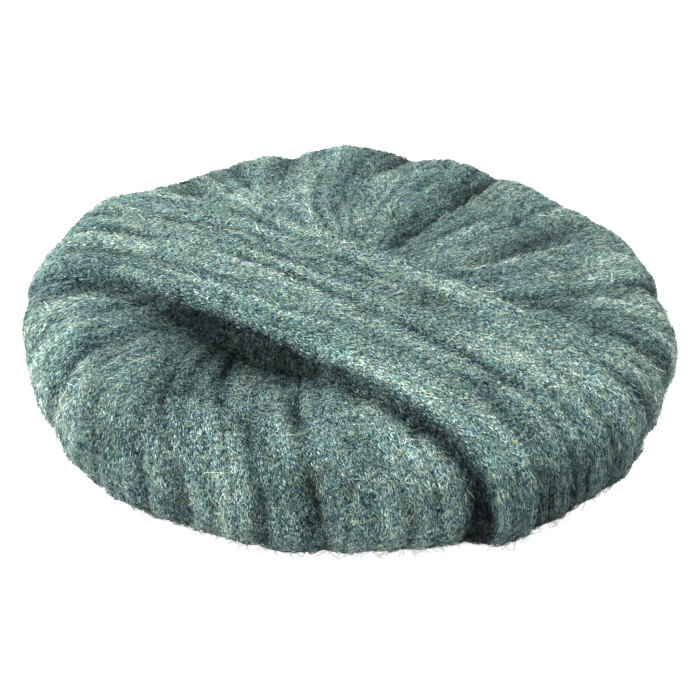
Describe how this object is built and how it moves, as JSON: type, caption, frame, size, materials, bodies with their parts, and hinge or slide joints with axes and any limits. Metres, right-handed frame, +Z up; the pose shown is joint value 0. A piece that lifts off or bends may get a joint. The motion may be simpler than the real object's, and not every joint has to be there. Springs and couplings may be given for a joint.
{
  "type": "radially wound steel wool floor pad",
  "caption": "Thick round pad of steel wool, one ribbon wound over and under across the diameter, with a broad last turn lying over fanned earlier turns and a soft scalloped rim.",
  "frame": {"origin": "middle of the flat underside", "axes": "+Z up out of the top face; the last turn's band runs 37 degrees clockwise from +X, seen from above"},
  "size_m": [0.4326, 0.4356, 0.0779],
  "materials": {
    "steel_wool": "fine tangled grey-green steel fibres"
  },
  "bodies": {
    "root": {"wool_pad": "steel_wool"}
  },
  "joints": []
}
